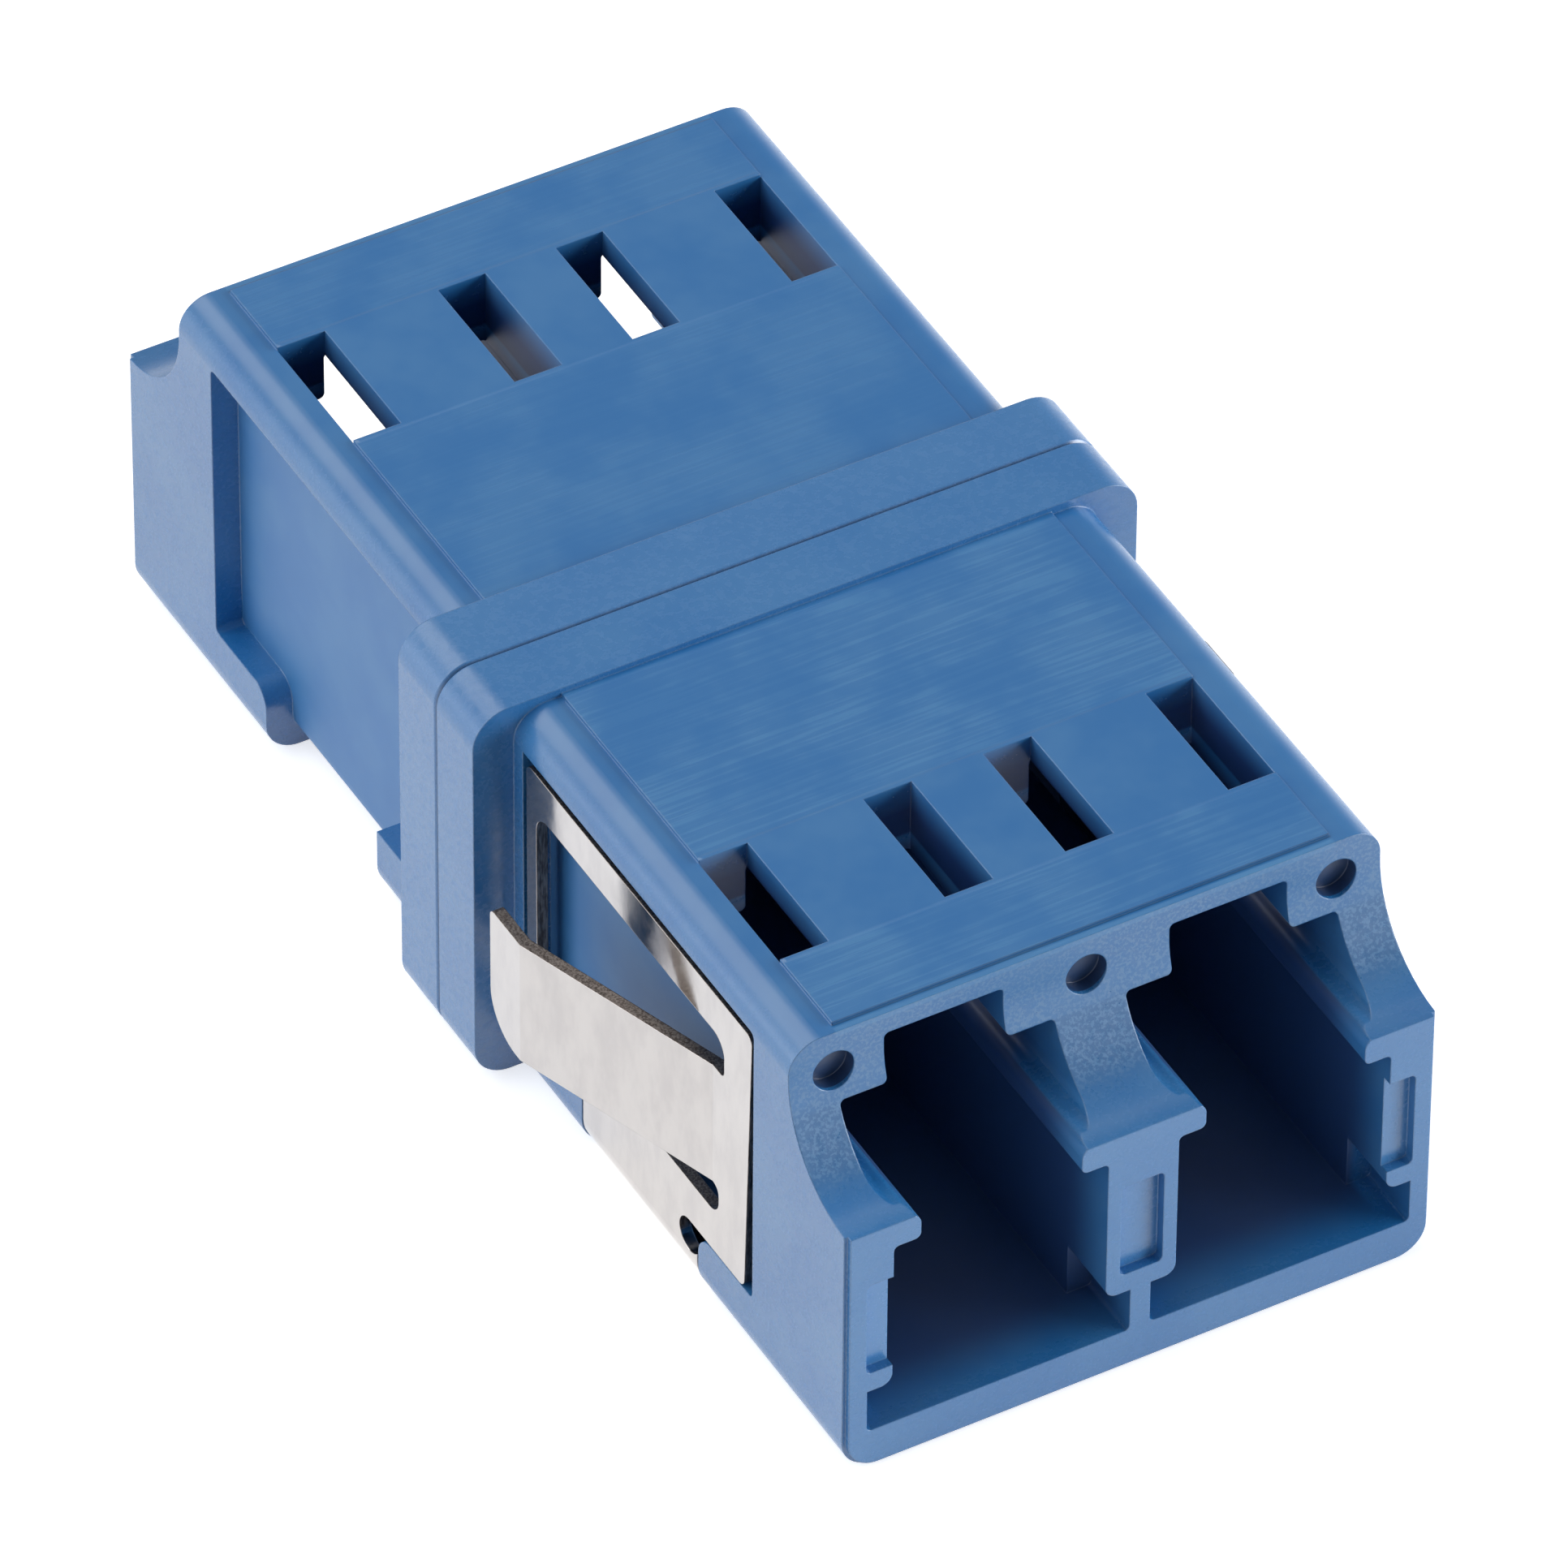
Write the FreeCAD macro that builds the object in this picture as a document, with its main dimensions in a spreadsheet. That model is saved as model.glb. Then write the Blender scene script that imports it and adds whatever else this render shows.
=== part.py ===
import FreeCAD, Part
import Sketcher

import math
import os

# LC duplex fibre adapter: two welded housing halves, two split sleeves and a spring clip.
# X runs across the two ports, Y along the fibres, Z up. The origin lies on the parting plane of the
# collar, midway between the ports, level with the underside. Lengths are in millimetres.

SIZES = {
    # Housing half, outside
    "port_pitch": 6.25,
    "body_width": 13.0,
    "body_height": 9.3,
    "half_length": 14.6,
    "top_corner": 0.7,
    "bottom_corner": 0.75,
    "panel_rise": 0.07,
    "panel_width": 10.9,
    "panel_margin": 0.2,
    "mouth_rebate": 0.08,
    "mouth_rebate_length": 0.12,
    # Collar that seats on the panel
    "collar_width": 14.8,
    "collar_rise": 0.2,
    "collar_half": 1.5,
    "collar_corner": 0.8,
    "weld_chamfer": 0.06,
    # Concave scoop over the ports
    "lip_height": 6.2,
    "scoop_radius": 2.3,
    # Recess for the clip
    "pocket_depth": 0.6,
    "pocket_rim": 0.7,
    "pocket_front": 10.97,
    "pocket_rear": 1.86,
    "pocket_corner": 0.15,
    "strip_top": 1.65,
    "strip_end": 8.85,
    "block_end": 4.2,
    "strip_corner": 0.5,
    "strap_recess": 0.3,
    "core_corner": 0.55,
    # Port, as seen from the mouth
    "floor_height": 0.97,
    "channel_width": 4.7,
    "channel_top": 5.6,
    "groove_width": 5.8,
    "groove_top": 2.03,
    "groove_depth": 1.45,
    "shoulder_gap": 3.52,
    "wing_floor": 6.24,
    "wing_width": 4.7,
    "wing_roof": 1.65,
    "latch_width": 2.6,
    "latch_roof": 0.52,
    "small_corner": 0.12,
    "nose_corner": 0.26,
    "rear_wall": 2.0,
    # Latch windows in the top
    "window_inner": 1.27,
    "window_outer": 2.33,
    "window_near": 6.95,
    "window_far": 10.1,
    # Sleeve holder
    "ferrule_height": 3.28,
    "holder_diameter": 2.9,
    "holder_length": 4.35,
    "sleeve_play": 0.12,
    "sleeve_end_gap": 0.1,
    "lip_bore": 1.4,
    "lip_taper": 24,
    # Marks that the mould leaves in the mouth
    "dimple_diameter": 0.9,
    "dimple_drop": 0.95,
    "dimple_offset": 5.52,
    "dimple_depth": 0.3,
    "pad_width": 0.94,
    "pad_bottom": 2.5,
    "pad_top": 4.83,
    "pad_edge": 6.05,
    "pad_depth": 0.22,
    # Pins and sockets that line up the halves for welding
    "pin_offset": 5.0,
    "pin_height": 7.3,
    "pin_diameter": 1.0,
    "pin_length": 0.8,
    "pin_play": 0.1,
    "pin_end_gap": 0.1,
    # Split sleeve
    "ferrule_bore": 1.25,
    "sleeve_wall": 0.18,
    "sleeve_length": 11.4,
    "sleeve_slot": 0.3,
    "sleeve_chamfer": 0.05,
    # Spring clip
    "sheet": 0.25,
    "clip_corner": 0.8,
    "clip_play": 0.03,
    "plate_drop": 0.18,
    "plate_bottom": 1.68,
    "plate_front": 10.9,
    "plate_rear": 2.01,
    "front_slant": 0.25,
    "strap_front": 8.8,
    "strap_rear": 4.25,
    "plate_corner": 0.2,
    "opening_rim": 0.98,
    "opening_bottom": 2.72,
    "opening_rear": 2.4,
    "opening_corner": 0.45,
    "upper_slit_width": 0.92,
    "lower_slit_width": 0.76,
    "upper_slit_end": 9.83,
    "lower_slit_end": 9.64,
    "slit_round": 0.45,
    "slit_floor_round": 0.36,
    "slit_corner": 0.15,
    "hinge_round": 0.23,
    "hinge": 9.4,
    "tab_angle": 18.8,
    "right_tab_angle": 15.5,
    "tab_length": 5.0,
    "tab_tip": 1.19,
    "tab_corner": 1.0,
    "tab_nose": 0.15,
    "notch_diameter": 0.8,
    "notch_height": 1.28,
    "notch_setback": 0.3,
}


class Size:
    """A length that knows both its value and its formula in the sheet."""

    def __init__(self, value, formula):
        self.value = value
        self.formula = formula

    def joined(self, other, sign, value):
        return Size(value, f"({self.formula} {sign} {as_size(other).formula})")

    def __add__(self, other):
        return self.joined(other, "+", self.value + as_size(other).value)

    def __sub__(self, other):
        return self.joined(other, "-", self.value - as_size(other).value)

    def __mul__(self, other):
        return self.joined(other, "*", self.value * as_size(other).value)

    def __truediv__(self, other):
        return self.joined(other, "/", self.value / as_size(other).value)

    def __neg__(self):
        return Size(-self.value, f"(0 - {self.formula})")


def as_size(item):
    """Numbers join the formulas as they are."""
    return item if isinstance(item, Size) else Size(float(item), f"{item}")


def size(alias):
    return Size(SIZES[alias], f"Dimensions.{alias}")


def sine(angle):
    return Size(math.sin(math.radians(angle.value)), f"sin({angle.formula})")


def cosine(angle):
    return Size(math.cos(math.radians(angle.value)), f"cos({angle.formula})")


ZERO = as_size(0)
OVERCUT = as_size(1.0)


def make_sheet(doc):
    """Write every driving dimension into the sheet under its own alias."""
    sheet = doc.addObject("Spreadsheet::Sheet", "Dimensions")
    for row, (alias, value) in enumerate(SIZES.items(), start=1):
        sheet.set(f"A{row}", alias)
        sheet.set(f"B{row}", str(value))
        sheet.setAlias(f"B{row}", alias)
    doc.recompute()


def bind(item, name, length):
    """Tie one property or constraint to its formula."""
    item.setExpression(name, length.formula)


def drawing(body, name, plane, level=ZERO):
    """An empty drawing on one of the body's own planes, moved along the plane's normal."""
    sketch = body.newObject("Sketcher::SketchObject", name)
    planes = {feature.Role: feature for feature in body.Origin.OriginFeatures}
    sketch.AttachmentSupport = [(planes[plane], "")]
    sketch.MapMode = "FlatFace"
    sketch.AttachmentOffset = FreeCAD.Placement(FreeCAD.Vector(0, 0, level.value), FreeCAD.Rotation())
    bind(sketch, "AttachmentOffset.Base.z", level)
    return Drawing(sketch)


class Drawing:
    """The lines, arcs and constraints of one sketch, handed over together."""

    def __init__(self, sketch):
        self.sketch = sketch
        self.geometry = []
        self.constraints = []
        self.bound = []

    def add(self, item):
        self.geometry.append(item)
        return len(self.geometry) - 1

    def constrain(self, *terms):
        self.constraints.append(Sketcher.Constraint(*terms))

    def drive(self, length, *terms):
        """A constraint whose size is tied to the sheet."""
        self.bound.append((len(self.constraints), length))
        self.constrain(*terms, length.value)

    def hold(self, geometry, point, across=None, along=None):
        """Hold one point at its distances from the sketch's origin."""
        if across:
            self.drive(across, "DistanceX", -1, 1, geometry, point)
        if along:
            self.drive(along, "DistanceY", -1, 1, geometry, point)

    def circle(self, across, along, radius):
        centre = FreeCAD.Vector(across.value, along.value, 0)
        circle = self.add(Part.Circle(centre, FreeCAD.Vector(0, 0, 1), radius.value))
        self.hold(circle, 3, across, along)
        self.drive(radius, "Radius", circle)

    def polygon(self, corners):
        """A closed polygon whose corners are held by their two coordinates."""
        points = [FreeCAD.Vector(across.value, along.value, 0) for across, along in corners]
        lines = [self.add(Part.LineSegment(points[index - 1], points[index]))
                 for index in range(len(points))]
        for index, (across, along) in enumerate(corners):
            self.constrain("Coincident", lines[index - 1], 2, lines[index], 1)
            self.hold(lines[index], 2, across, along)

    def stepped(self, sides):
        """A closed outline of upright and level lines in turn.

        Each side is its kind ("upright" or "level"), its coordinate and the radius of the corner at
        its end, or None where that corner is sharp.
        """
        count = len(sides)
        sharp = []
        for index, (kind, place, _) in enumerate(sides):
            following = sides[(index + 1) % count][1]
            across, along = (place, following) if kind == "upright" else (following, place)
            sharp.append(FreeCAD.Vector(across.value, along.value, 0))
        starts, ends = [None] * count, [None] * count
        for index, (_, _, radius) in enumerate(sides):
            following = (index + 1) % count
            before, here, after = sharp[index - 1], sharp[index], sharp[following]
            back = radius.value if radius else 0
            ends[index] = here + (before - here).normalize() * back
            starts[following] = here + (after - here).normalize() * back
        lines = [self.add(Part.LineSegment(start, end)) for start, end in zip(starts, ends)]
        for line, (kind, place, _) in zip(lines, sides):
            if kind == "upright":
                self.constrain("Vertical", line)
                self.hold(line, 1, across=place)
            else:
                self.constrain("Horizontal", line)
                self.hold(line, 1, along=place)
        for index, (_, _, radius) in enumerate(sides):
            following = (index + 1) % count
            if radius:
                self.rounded(lines[index], lines[following], sharp[index], ends[index],
                             starts[following], radius)
            else:
                self.constrain("Coincident", lines[index], 2, lines[following], 1)

    def rounded(self, line, following, corner, start, end, radius):
        """Join two lines with a tangent arc."""
        centre = start + end - corner
        circle = Part.Circle(centre, FreeCAD.Vector(0, 0, 1), radius.value)
        turns_left = (corner - start).cross(end - corner).z > 0
        first, last = (start, end) if turns_left else (end, start)
        angles = [math.atan2(point.y - centre.y, point.x - centre.x) for point in (first, last)]
        if angles[1] < angles[0]:
            angles[1] += 2 * math.pi
        arc = self.add(Part.ArcOfCircle(circle, *angles))
        near, far = (1, 2) if turns_left else (2, 1)
        self.constrain("Tangent", line, 2, arc, near)
        self.constrain("Tangent", following, 1, arc, far)
        self.drive(radius, "Radius", arc)

    def finish(self):
        self.sketch.addGeometry(self.geometry, False)
        self.sketch.addConstraint(self.constraints)
        for number, length in self.bound:
            bind(self.sketch, f"Constraints[{number}]", length)
        return self.sketch


def box_sides(left, right, bottom, top, radii=(None, None, None, None)):
    """A rectangle; the radii belong to the lower left, lower right, upper right and upper left."""
    return [("upright", left, radii[0]), ("level", bottom, radii[1]),
            ("upright", right, radii[2]), ("level", top, radii[3])]


def extrude(body, kind, name, outline, length, reverse=False, both_ways=False, taper=None):
    """Pad or pocket a sketch and see that the body has gained or lost material."""
    before = body.Tip.Shape.Volume if body.Tip else 0.0
    feature = body.newObject(f"PartDesign::{kind}", name)
    feature.Profile = outline.finish()
    feature.Length = length.value
    bind(feature, "Length", length)
    feature.Reversed = reverse
    if both_ways:
        feature.SideType = "Symmetric"
    if taper:
        feature.TaperAngle = taper.value
        bind(feature, "TaperAngle", taper)
    body.Document.recompute()
    gained = feature.Shape.Volume - before
    if (gained > 0) != (kind == "Pad"):
        raise ValueError(f"{body.Label}: {name} changes the volume by {gained:.3f}")
    return feature


def dress(body, kind, name, radius, chosen):
    """Fillet or chamfer the edges that the test picks."""
    base = body.Tip
    names = [f"Edge{number}" for number, edge in enumerate(base.Shape.Edges, start=1) if chosen(edge)]
    if not names:
        raise ValueError(f"{body.Label}: {name} finds no edge")
    feature = body.newObject(f"PartDesign::{kind}", name)
    feature.Base = (base, names)
    side = "Radius" if kind == "Fillet" else "Size"
    setattr(feature, side, radius.value)
    bind(feature, side, radius)
    body.Document.recompute()
    return feature


def lies_at(edge, axis, level):
    """True where the whole edge lies in the plane across the axis at the level."""
    box = edge.BoundBox
    low, high = getattr(box, f"{axis}Min"), getattr(box, f"{axis}Max")
    return abs(low - level.value) < 1e-4 and abs(high - level.value) < 1e-4


# Housing half ------------------------------------------------------------------------------------

def is_corner(edge, along, up):
    """True for the edge that runs across the part at one place along it and one height."""
    return lies_at(edge, "Y", along) and lies_at(edge, "Z", up)


def wing_top():
    """The roof of the channel that takes the plug's wings."""
    return size("body_height") - size("wing_roof")


def latch_top():
    """The roof of the channel that takes the plug's latch."""
    return size("body_height") - size("latch_roof")


def pocket_top():
    """The clip's pocket ends below the block's top edge."""
    return size("body_height") - size("pocket_rim")


def port_places():
    half_pitch = size("port_pitch") / 2
    return (-half_pitch, half_pitch)


def block_sides(inset=ZERO):
    """The section of the housing block across the fibres."""
    half = size("body_width") / 2 - inset
    top_corner, bottom_corner = size("top_corner") - inset, size("bottom_corner") - inset
    return box_sides(-half, half, inset, size("body_height") - inset,
                     (bottom_corner, bottom_corner, top_corner, top_corner))


def add_block(body):
    """The block, its raised top panel and the half collar."""
    outline = drawing(body, "BlockOutline", "XZ_Plane")
    outline.stepped(block_sides())
    extrude(body, "Pad", "Block", outline, size("half_length"))

    panel = drawing(body, "PanelOutline", "XY_Plane", size("body_height"))
    half = size("panel_width") / 2
    front = size("half_length") - size("scoop_radius") - size("panel_margin")
    panel.stepped(box_sides(-half, half, -front, ZERO))
    extrude(body, "Pad", "TopPanel", panel, size("panel_rise"))

    outline = drawing(body, "CollarOutline", "XZ_Plane")
    half = size("collar_width") / 2
    radius = size("collar_corner")
    top = size("body_height") + size("collar_rise")
    outline.stepped(box_sides(-half, half, ZERO, top, (radius,) * 4))
    extrude(body, "Pad", "Collar", outline, size("collar_half"))
    dress(body, "Chamfer", "WeldLine", size("weld_chamfer"), lambda edge: lies_at(edge, "Y", ZERO))


def add_mouth(body):
    """The rebate round the mouth and the scoop over the ports."""
    half, height = size("body_width") / 2, size("body_height")
    rebate = drawing(body, "RebateOutline", "XZ_Plane", size("half_length"))
    rebate.stepped(box_sides(-half - OVERCUT, half + OVERCUT, -OVERCUT, height + OVERCUT))
    rebate.stepped(block_sides(size("mouth_rebate")))
    extrude(body, "Pocket", "MouthRebate", rebate, size("mouth_rebate_length"))

    scoop = drawing(body, "ScoopOutline", "YZ_Plane")
    draw_scoop(scoop)
    extrude(body, "Pocket", "Scoop", scoop, size("body_width") + OVERCUT, both_ways=True)


def draw_scoop(outline):
    """The scoop runs level off the lip and sweeps up into the set-back face."""
    mouth, lip, radius = -size("half_length"), size("lip_height"), size("scoop_radius")
    face, rise = mouth + radius, lip + radius
    above = size("body_height") + size("panel_rise") + OVERCUT
    ahead = mouth - OVERCUT
    slope = math.radians(45)
    middle = FreeCAD.Vector(mouth.value + radius.value * math.sin(slope),
                            rise.value - radius.value * math.cos(slope), 0)
    corners = [(mouth, lip), (face, rise), (face, above), (ahead, above), (ahead, lip)]
    points = [FreeCAD.Vector(along.value, up.value, 0) for along, up in corners]
    arc = outline.add(Part.Arc(points[0], middle, points[1]))
    for index in range(1, 5):
        outline.add(Part.LineSegment(points[index], points[(index + 1) % 5]))
        outline.constrain("Coincident", index - 1, 2, index, 1)
        outline.hold(index, 1, *corners[index])
    outline.constrain("Coincident", 4, 2, arc, 1)
    outline.hold(arc, 3, mouth, rise)
    outline.hold(arc, 1, across=mouth)


def add_clip_seat(body):
    """The recess in both sides and under the block that the clip wraps round."""
    half, depth = size("body_width") / 2, size("pocket_depth")
    corner = size("pocket_corner")
    for side, level, reverse in (("Left", -half, True), ("Right", half, False)):
        pocket = drawing(body, f"Pocket{side}Outline", "YZ_Plane", level)
        pocket.stepped(box_sides(-size("pocket_front"), -size("pocket_rear"), size("strip_top"),
                                 pocket_top(), (corner, None, None, corner)))
        extrude(body, "Pocket", f"Pocket{side}", pocket, depth, reverse)

    recess = drawing(body, "StrapOutline", "XZ_Plane", size("block_end"))
    inner, outside = half - depth, half + OVERCUT
    top = size("strip_top") + size("strip_corner")
    radius = size("core_corner")
    recess.stepped([("upright", -outside, None), ("level", top, None),
                    ("upright", -inner, radius), ("level", size("strap_recess"), radius),
                    ("upright", inner, None), ("level", top, None),
                    ("upright", outside, None), ("level", -OVERCUT, None)])
    extrude(body, "Pocket", "StrapRecess", recess, size("strip_end") - size("block_end"), True)
    dress(body, "Fillet", "StripNoses", size("strip_corner"),
          lambda edge: is_corner(edge, -size("strip_end"), size("strip_top")))


def port_sides(centre, grooved):
    """The port's section: plug channel, shoulders, wing channel and latch channel."""
    small, nose = size("small_corner"), size("nose_corner")
    steps = [(size("channel_width") / 2, size("channel_top"), small, nose - small),
             (size("shoulder_gap") / 2, size("wing_floor"), nose, nose),
             (size("wing_width") / 2, wing_top(), small, small),
             (size("latch_width") / 2, latch_top(), small, small)]
    if grooved:
        steps.insert(0, (size("groove_width") / 2, size("groove_top"), None, nose))
    foot = small if grooved else None
    rising = []
    for half, top, at_wall, at_top in steps:
        rising += [("upright", centre + half, at_wall), ("level", top, at_top)]
    falling = []
    for index in range(len(steps) - 1, -1, -1):
        half, _, at_wall, at_top = steps[index]
        falling.append(("upright", centre - half, foot if index == 0 else steps[index - 1][3]))
        if index:
            falling.append(("level", steps[index - 1][1], steps[index - 1][2]))
    return [("level", size("floor_height"), foot)] + rising + falling


def add_ports(body):
    """Both ports, their wider mouths, the latch windows and the sleeve holders."""
    depth = size("half_length") - size("rear_wall")
    for side, centre in zip(("Left", "Right"), port_places()):
        for name, grooved, length in (("Port", False, depth), ("Mouth", True, size("groove_depth"))):
            outline = drawing(body, f"{name}{side}Outline", "XZ_Plane", size("half_length"))
            outline.stepped(port_sides(centre, grooved))
            extrude(body, "Pocket", f"{name}{side}", outline, length)

    top = size("body_height") + size("panel_rise")
    windows = drawing(body, "WindowOutline", "XY_Plane", top)
    for centre in port_places():
        for near, far in ((size("window_inner"), size("window_outer")),
                          (-size("window_outer"), -size("window_inner"))):
            windows.stepped(box_sides(centre + near, centre + far, -size("window_far"),
                                      -size("window_near")))
    extrude(body, "Pocket", "LatchWindows", windows, top - wing_top() + size("small_corner"))


def add_sleeve_holders(body):
    """The two barrels that carry the sleeves; a flared lip keeps each sleeve in."""
    height, wall = size("ferrule_height"), size("rear_wall")
    barrels = drawing(body, "HolderOutline", "XZ_Plane", wall)
    for centre in port_places():
        barrels.circle(centre, height, size("holder_diameter") / 2)
    extrude(body, "Pad", "Holders", barrels, size("holder_length"))
    seat = size("sleeve_length") / 2 + size("sleeve_end_gap")
    bores = drawing(body, "SleeveBoreOutline", "XZ_Plane")
    for centre in port_places():
        bores.circle(centre, height, (sleeve_diameter() + size("sleeve_play")) / 2)
    extrude(body, "Pocket", "SleeveBores", bores, seat, True)
    lips = drawing(body, "LipOutline", "XZ_Plane", seat)
    for centre in port_places():
        lips.circle(centre, height, size("lip_bore") / 2)
    extrude(body, "Pocket", "FlaredLips", lips, wall + size("holder_length") - seat, True,
            taper=size("lip_taper"))


def add_mould_marks(body):
    """Ejector dimples in the set-back face and shallow pads in the lower face."""
    face = size("half_length") - size("scoop_radius")
    ahead = size("dimple_depth")
    dimples = drawing(body, "DimpleOutline", "XZ_Plane", face + ahead)
    height = size("body_height") - size("dimple_drop")
    for place in (-size("dimple_offset"), ZERO, size("dimple_offset")):
        dimples.circle(place, height, size("dimple_diameter") / 2)
    extrude(body, "Pocket", "Dimples", dimples, ahead + size("dimple_depth"))

    pads = drawing(body, "PadOutline", "XZ_Plane", size("half_length"))
    bottom, top, radius = size("pad_bottom"), size("pad_top"), size("small_corner")
    half = size("pad_width") / 2
    pads.stepped(box_sides(-half, half, bottom, top, (radius,) * 4))
    reach = size("port_pitch") / 2 + size("channel_width") / 4
    edge = size("pad_edge")
    pads.stepped(box_sides(-edge, -reach, bottom, top, (radius, None, None, radius)))
    pads.stepped(box_sides(reach, edge, bottom, top, (None, radius, radius, None)))
    extrude(body, "Pocket", "Pads", pads, size("pad_depth"))


def add_weld_joint(body):
    """A pin on one side and a socket on the other, so that one moulding fits itself."""
    offset, radius = size("pin_offset"), size("pin_diameter") / 2
    pin = drawing(body, "PinOutline", "XZ_Plane")
    pin.circle(offset, size("pin_height"), radius)
    extrude(body, "Pad", "Pin", pin, size("pin_length"), True)
    socket = drawing(body, "SocketOutline", "XZ_Plane")
    socket.circle(-offset, size("pin_height"), radius + size("pin_play") / 2)
    extrude(body, "Pocket", "Socket", socket, size("pin_length") + size("pin_end_gap"), True)


def make_housing(doc, label, turn):
    """One housing half, built with its mouth towards -Y and then turned about Z."""
    body = doc.addObject("PartDesign::Body", label)
    body.Label = label
    add_block(body)
    add_mouth(body)
    add_clip_seat(body)
    add_ports(body)
    add_sleeve_holders(body)
    add_mould_marks(body)
    add_weld_joint(body)
    body.Placement = FreeCAD.Placement(FreeCAD.Vector(0, 0, 0),
                                       FreeCAD.Rotation(FreeCAD.Vector(0, 0, 1), turn))
    return body


# Split sleeve ------------------------------------------------------------------------------------

def sleeve_diameter():
    return size("ferrule_bore") + size("sleeve_wall") * 2


def make_sleeve(doc, label, centre):
    """A ceramic tube that is slit along its whole length."""
    body = doc.addObject("PartDesign::Body", label)
    body.Label = label
    ring = drawing(body, "RingOutline", "XZ_Plane")
    bore = size("ferrule_bore") / 2
    ring.circle(ZERO, ZERO, sleeve_diameter() / 2)
    ring.circle(ZERO, ZERO, bore)
    length = size("sleeve_length")
    extrude(body, "Pad", "Tube", ring, length, both_ways=True)
    end = length / 2
    dress(body, "Chamfer", "LeadIns", size("sleeve_chamfer"),
          lambda edge: ((lies_at(edge, "Y", end) or lies_at(edge, "Y", -end))
                        and edge.Curve.Radius < sleeve_diameter().value / 2))
    slit = drawing(body, "SlitOutline", "XZ_Plane")
    half = size("sleeve_slot") / 2
    slit.stepped(box_sides(-half, half, ZERO, sleeve_diameter()))
    extrude(body, "Pocket", "Slit", slit, length + OVERCUT, both_ways=True)
    place_at(body, centre, size("ferrule_height"))
    return body


def place_at(body, across, up):
    """Stand a body at its place across and above the origin."""
    body.Placement = FreeCAD.Placement(FreeCAD.Vector(across.value, 0, up.value), FreeCAD.Rotation())
    bind(body, "Placement.Base.x", across)
    bind(body, "Placement.Base.z", up)


# Spring clip -------------------------------------------------------------------------------------

def clip_half_width():
    """The clip's plates lie flush with the housing's sides."""
    return size("body_width") / 2


def plate_top():
    """The plates end a little below the pocket's upper wall."""
    return pocket_top() - size("plate_drop")


def tab_heights():
    """A slit above and a slit below free the tab from the plate."""
    return (size("opening_bottom") + size("lower_slit_width"),
            plate_top() - size("opening_rim") - size("upper_slit_width"))


def strap_underside():
    """The strap bears on the recess under the block with a little play."""
    return size("strap_recess") - size("clip_play") - size("sheet")


def fold_sides(outward):
    """A U-shaped outline at a distance outside the sheet's inner face."""
    half = clip_half_width() - size("sheet") + outward
    radius = size("clip_corner") - size("sheet") + outward
    bottom = strap_underside() + size("sheet") - outward
    return half, bottom, radius


def make_clip(doc):
    """One folded sheet: two plates, the strap between them and two lanced tabs."""
    body = doc.addObject("PartDesign::Body", "mounting_clip")
    body.Label = "mounting_clip"
    fold = drawing(body, "FoldOutline", "XZ_Plane", size("plate_rear"))
    outer, low, outer_corner = fold_sides(size("sheet"))
    inner, floor, inner_corner = fold_sides(ZERO)
    top = plate_top()
    fold.stepped([("upright", -outer, outer_corner), ("level", low, outer_corner),
                  ("upright", outer, None), ("level", top, None),
                  ("upright", inner, inner_corner), ("level", floor, inner_corner),
                  ("upright", -inner, None), ("level", top, None)])
    width = size("plate_front") - size("plate_rear")
    extrude(body, "Pad", "Fold", fold, width)

    trim = drawing(body, "TrimOutline", "YZ_Plane")
    draw_trim(trim)
    across = clip_half_width() * 2 + OVERCUT
    extrude(body, "Pocket", "Trim", trim, across, both_ways=True)
    corners = plate_corners()
    dress(body, "Fillet", "PlateCorners", size("plate_corner"),
          lambda edge: any(is_corner(edge, *corner) for corner in corners))

    notch = drawing(body, "NotchOutline", "YZ_Plane")
    notch.circle(notch_place(), size("notch_height"), size("notch_diameter") / 2)
    extrude(body, "Pocket", "Notches", notch, across, both_ways=True)

    opening = drawing(body, "OpeningOutline", "YZ_Plane")
    draw_opening(opening)
    extrude(body, "Pocket", "Openings", opening, across, both_ways=True)
    for side in (-1, 1):
        add_tab(body, side)
    sheet = size("sheet").value
    beyond = clip_half_width().value + sheet
    heights = tab_heights()
    for name, radius, height in zip(("TabCorners", "TabNoses"),
                                    (size("tab_corner"), size("tab_nose")), heights):
        dress(body, "Fillet", name, radius,
              lambda edge: (lies_at(edge, "Z", height) and edge.Length < 2 * sheet
                            and abs(edge.CenterOfMass.x) > beyond))
    return body


def plate_corners():
    """A plate's four corners; its front edge slants back towards the bottom."""
    front, rear = -size("plate_front"), -size("plate_rear")
    bottom, top = size("plate_bottom"), plate_top()
    return [(front, top), (front + size("front_slant"), bottom), (rear, bottom), (rear, top)]


def notch_place():
    """The bend's relief notch opens in the strap's front edge."""
    return size("notch_setback") - size("strap_front")


def draw_trim(outline):
    """What is cut off the folded sheet: beside the strap, at the slanted front and at the notch."""
    front_top, front_bottom, rear_bottom, _ = plate_corners()
    bottom, notch = size("plate_bottom"), size("notch_height")
    ahead, behind, below = front_top[0] - OVERCUT, rear_bottom[0] + OVERCUT, -OVERCUT
    strap_front, strap_rear = -size("strap_front"), -size("strap_rear")
    outline.polygon([(strap_front, below), (strap_front, notch), (notch_place(), notch),
                     (notch_place(), bottom), front_bottom, front_top,
                     (ahead, front_top[1]), (ahead, below)])
    outline.polygon([(behind, below), (behind, bottom), (strap_rear, bottom), (strap_rear, below)])


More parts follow.
